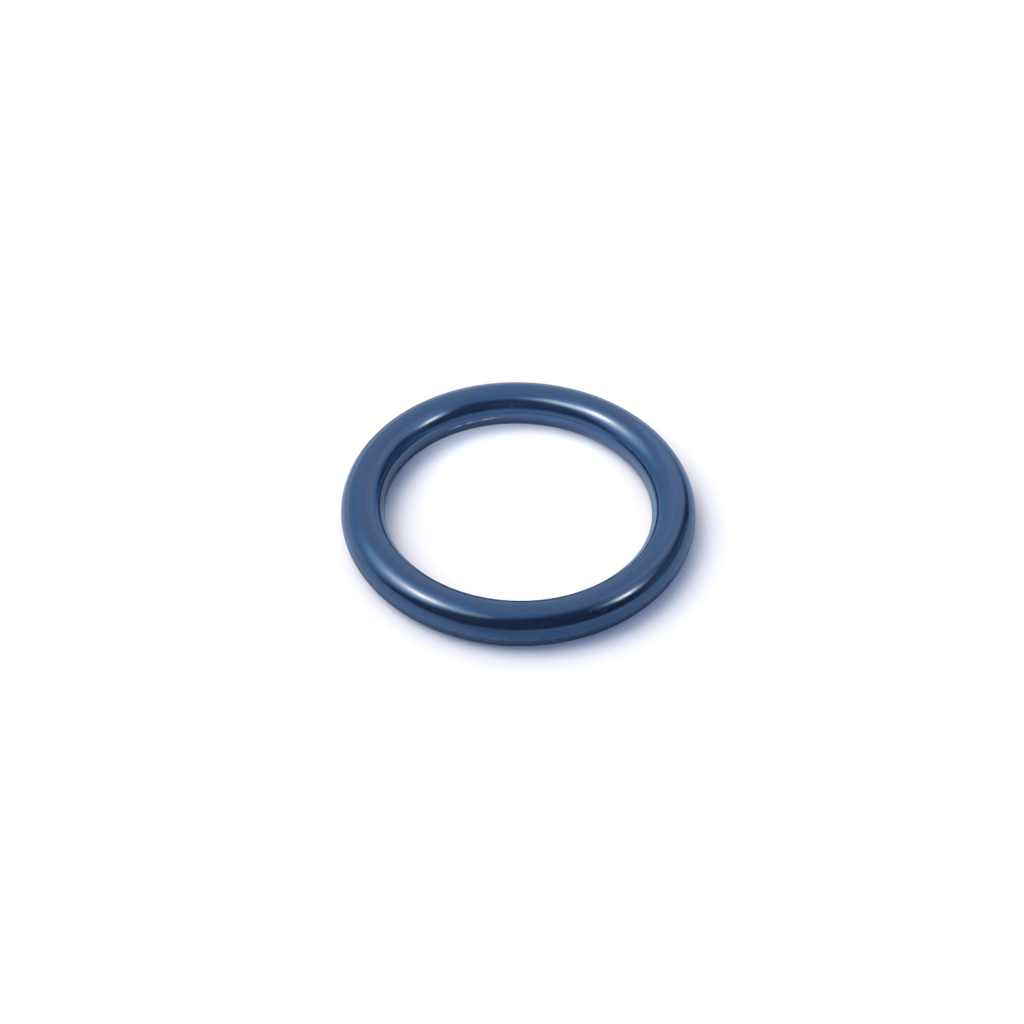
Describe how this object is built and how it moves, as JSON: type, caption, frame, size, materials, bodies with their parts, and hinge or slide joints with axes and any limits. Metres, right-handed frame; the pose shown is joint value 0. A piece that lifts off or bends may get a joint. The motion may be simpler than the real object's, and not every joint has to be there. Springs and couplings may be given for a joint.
{
  "type": "silicone o-ring",
  "caption": "Round moulded silicone o-ring of round section that seals between a shaft or groove floor and a bore, or between two flat faces.",
  "frame": {"origin": "centre of the ring on the surface that it lies on", "axes": "+Z along the ring's axis, up from the surface; X and Y are alike, because the ring is round"},
  "size_m": [0.029, 0.029, 0.0035],
  "materials": {
    "silicone_blue": "smooth glossy moulded silicone, slate blue"
  },
  "bodies": {
    "root": {"o_ring": "silicone_blue"}
  },
  "joints": []
}
